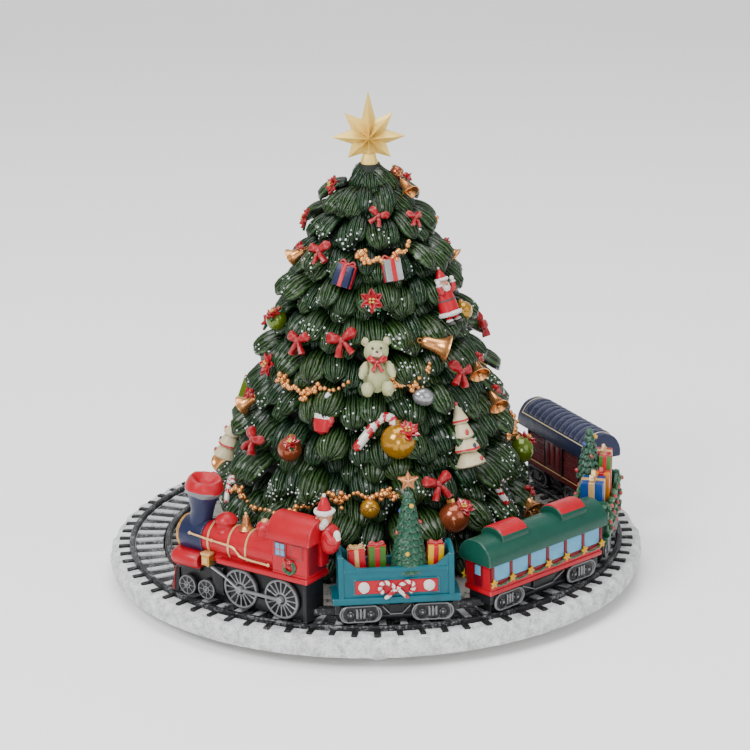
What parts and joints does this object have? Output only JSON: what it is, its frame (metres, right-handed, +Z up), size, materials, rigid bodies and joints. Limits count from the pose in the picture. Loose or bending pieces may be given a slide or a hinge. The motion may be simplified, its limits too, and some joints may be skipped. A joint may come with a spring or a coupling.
{
  "type": "musical train ornament",
  "caption": "Wind-up tabletop ornament: a toy steam train with wagons circles a decorated fir tree on a round snowy base, driven by a musical movement inside.",
  "frame": {"origin": "centre of the base circle, on the table plane under the rubber feet", "axes": "+Z up, -Y towards the viewer, who sees the locomotive at the left front"},
  "size_m": [0.176, 0.176, 0.1606],
  "materials": {
    "snow": "cast resin painted as rough glittering snow",
    "ground": "cast resin painted as grey earth dusted with snow",
    "rail": "dark paint dry-brushed with silver",
    "tie": "cast resin painted black-brown",
    "ring_tie": "cast resin, grey and snow-dusted",
    "ring": "cast resin painted as packed snow",
    "cover": "matt black moulding",
    "foot_rubber": "frosted grey rubber",
    "tree_green": "cast resin in dark green with dry-brushed light ridges",
    "star_gold": "gold paint",
    "bauble": "gold, copper and green metallic paint",
    "bell_metal": "copper and gold metallic paint",
    "ribbon": "red paint",
    "candy": "white with red stripes",
    "toy": "navy and red paint",
    "cream": "cream paint",
    "figure": "red coat, cream trim",
    "bead_gold": "gold metallic paint",
    "brass_plate": "stamped brass",
    "spring_steel": "blued and bright steel",
    "gear_plastic": "natural moulded gear",
    "key_metal": "nickelled key",
    "black_frame": "black paint, silver dry-brushed edges",
    "wheel_silver": "black with silver rims, spokes and rods",
    "pilot_red": "dark red with silver edges",
    "loco_red": "satin red paint",
    "navy": "navy paint",
    "trim_gold": "gold paint",
    "teal": "teal paint",
    "load": "green tree and coloured parcels",
    "coach_green": "green paint",
    "boxcar_red": "dark red paint"
  },
  "bodies": {
    "base": {"snow_base": "snow", "outer_rail": "rail", "inner_rail": "rail", "fixed_ties": "tie", "bottom_cover": "cover", "rubber_feet": "foot_rubber", "base_screws": "spring_steel", "centre_island": "ground", "tree_shell": "tree_green", "star_topper": "star_gold", "ball_ornaments": "bauble", "bell_ornaments": "bell_metal", "ribbon_bows": "ribbon", "poinsettias": "ribbon", "candy_canes": "candy", "gift_ornaments": "toy", "bear_ornament": "cream", "figure_ornament": "figure", "mitten_ornament": "toy", "stacked_tree_ornaments": "cream", "bead_garland": "bead_gold", "movement_bedplate": "brass_plate", "spring_housing": "brass_plate", "mainspring": "spring_steel", "comb": "spring_steel", "movement_screws": "spring_steel", "cylinder_bearing": "brass_plate", "governor_bracket": "brass_plate"},
    "train": {"train_ring": "ring", "ring_ties": "ring_tie", "loco_chassis": "black_frame", "loco_running_gear": "wheel_silver", "cowcatcher": "pilot_red", "loco_boiler": "loco_red", "loco_smokebox": "navy", "loco_cab": "loco_red", "loco_brightwork": "trim_gold", "driver_figure": "figure", "gondola_chassis": "black_frame", "gondola_body": "teal", "gondola_load": "load", "coach_chassis": "black_frame", "coach_body": "loco_red", "coach_roof": "coach_green", "gift_wagon_chassis": "black_frame", "gift_wagon_body": "coach_green", "gift_wagon_load": "load", "boxcar_chassis": "black_frame", "boxcar_body": "boxcar_red", "boxcar_roof": "navy", "couplers": "black_frame"},
    "winding": {"winding_key": "key_metal", "winding_arbor": "spring_steel", "drive_gear": "gear_plastic", "crown_wheel": "brass_plate"},
    "cylinder": {"music_cylinder": "brass_plate", "cylinder_pinion": "spring_steel", "cylinder_gear": "brass_plate"},
    "governor_wheel_body": {"governor_wheel": "brass_plate"},
    "governor_fly_body": {"governor_fly": "spring_steel"}
  },
  "joints": [
    {"name": "train_turn", "type": "hinge", "parent": "base", "child": "train", "pos_m": [0, 0, 0.007], "axis": [0, 0, -1], "continuous": true},
    {"name": "winding_turn", "type": "hinge", "parent": "base", "child": "winding", "pos_m": [0.016, 0, 0.007], "axis": [0, 0, -1], "continuous": true},
    {"name": "cylinder_turn", "type": "hinge", "parent": "base", "child": "cylinder", "pos_m": [-0.011, 0, 0.0209], "axis": [1, 0, 0], "continuous": true},
    {"name": "governor_wheel_turn", "type": "hinge", "parent": "base", "child": "governor_wheel_body", "pos_m": [-0.0226, -0.01, 0.0209], "axis": [1, 0, 0], "continuous": true},
    {"name": "governor_fly_turn", "type": "hinge", "parent": "base", "child": "governor_fly_body", "pos_m": [-0.0226, -0.01, 0.0299], "axis": [1, 0, 0], "continuous": true}
  ],
  "couplings": [
    {"joint": "winding_turn", "follows": "train_turn", "ratio": 1.4444},
    {"joint": "cylinder_turn", "follows": "train_turn", "ratio": 3.3704},
    {"joint": "governor_wheel_turn", "follows": "train_turn", "ratio": -13.481},
    {"joint": "governor_fly_turn", "follows": "train_turn", "ratio": 47.185}
  ]
}
